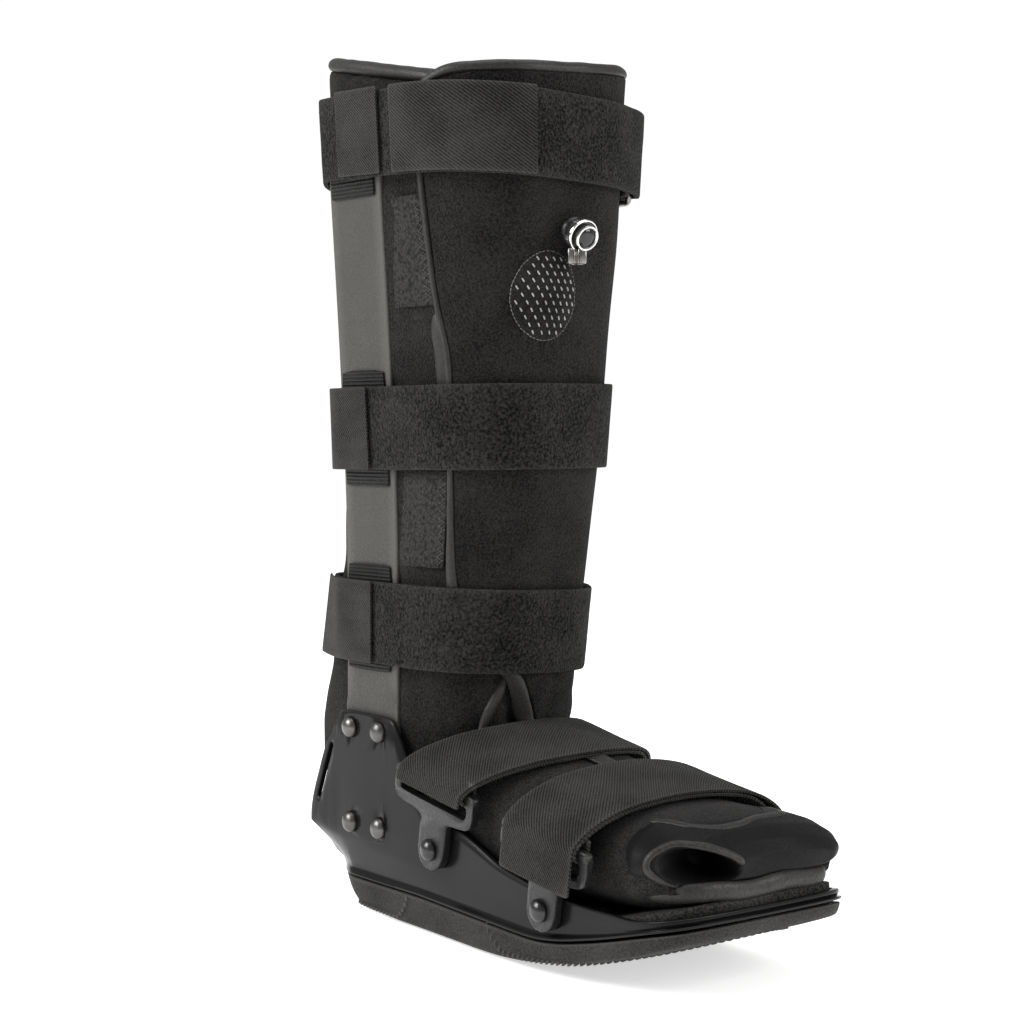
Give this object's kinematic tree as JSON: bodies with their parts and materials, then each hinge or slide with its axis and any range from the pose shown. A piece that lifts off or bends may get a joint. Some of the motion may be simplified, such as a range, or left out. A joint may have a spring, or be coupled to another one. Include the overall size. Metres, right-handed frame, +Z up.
{
  "type": "tall pneumatic walking boot",
  "caption": "Tall orthopaedic walking boot with a rocker sole, riveted side uprights, a padded liner with a front flap, hook-and-loop straps, strap loops and an air valve.",
  "frame": {"origin": "on the sole's flat contact patch, below the axis of the leg", "axes": "+X towards the toe, +Y to the left of the boot, +Z up"},
  "size_m": [0.3159, 0.1386, 0.442],
  "materials": {
    "sole_rubber": "matt, fine stipple",
    "glossy_shell": "glossy moulded",
    "insole_foam": "matt foam",
    "liner_fabric": "brushed loop pile",
    "flap_pile": "brushed loop pile",
    "smooth_binding": "smooth soft synthetic leather",
    "hook_mesh": "woven mesh",
    "upright_plastic": "fine stipple",
    "ribbed_pad": "ribbed tape",
    "moulded_loop": "satin moulded",
    "rivet_steel": "polished dome",
    "rivet_dark": "dark polished dome",
    "webbing": "woven twill",
    "hook_tape": "herringbone tape",
    "ring_nickel": "nickel-plated wire",
    "valve_chrome": "polished",
    "valve_plastic": "satin moulded",
    "pump_mesh": "open knitted mesh",
    "strap_pile": "dense loop pile"
  },
  "bodies": {
    "boot": {"outsole": "sole_rubber", "chassis": "glossy_shell", "insole_pad": "insole_foam", "liner": "liner_fabric", "toe_cover": "smooth_binding", "front_flap": "flap_pile", "flap_binding": "smooth_binding", "rim_binding": "smooth_binding", "mesh_patch_upper": "hook_mesh", "mesh_patch_lower": "hook_mesh", "upright_right": "upright_plastic", "strap_pad_top_right": "ribbed_pad", "strap_pad_middle_right": "ribbed_pad", "strap_pad_low_right": "ribbed_pad", "instep_loop_right": "moulded_loop", "forefoot_loop_right": "moulded_loop", "upright_left": "upright_plastic", "strap_pad_top_left": "ribbed_pad", "strap_pad_middle_left": "ribbed_pad", "strap_pad_low_left": "ribbed_pad", "instep_loop_left": "moulded_loop", "forefoot_loop_left": "moulded_loop", "plate_rivet_high_rear_right": "rivet_steel", "plate_rivet_high_front_right": "rivet_steel", "plate_rivet_low_rear_right": "rivet_steel", "plate_rivet_low_front_right": "rivet_steel", "loop_rivet_instep_right": "rivet_dark", "loop_rivet_forefoot_right": "rivet_dark", "plate_rivet_high_rear_left": "rivet_steel", "plate_rivet_high_front_left": "rivet_steel", "plate_rivet_low_rear_left": "rivet_steel", "plate_rivet_low_front_left": "rivet_steel", "loop_rivet_instep_left": "rivet_dark", "loop_rivet_forefoot_left": "rivet_dark", "instep_strap": "webbing", "forefoot_strap": "webbing", "top_strap": "strap_pile", "top_anchor": "strap_pile", "top_ring": "ring_nickel", "middle_strap": "strap_pile", "middle_anchor": "strap_pile", "middle_ring": "ring_nickel", "low_strap": "strap_pile", "low_anchor": "strap_pile", "low_ring": "ring_nickel", "middle_hook_tab": "hook_tape", "low_hook_tab": "hook_tape", "top_webbing_tab": "webbing", "top_webbing_panel": "webbing", "pump_window": "pump_mesh", "valve_base": "valve_plastic", "valve_barrel": "valve_plastic", "valve_flange": "valve_chrome", "valve_nozzle": "valve_chrome"},
    "valve_knob": {"valve_crown": "valve_chrome"}
  },
  "joints": [
    {"name": "valve_twist", "type": "hinge", "parent": "boot", "child": "valve_knob", "pos_m": [0.08381, -0.003, 0.3465], "axis": [0.9151, -0.05, -0.4001], "range_deg": [0, 120]}
  ]
}
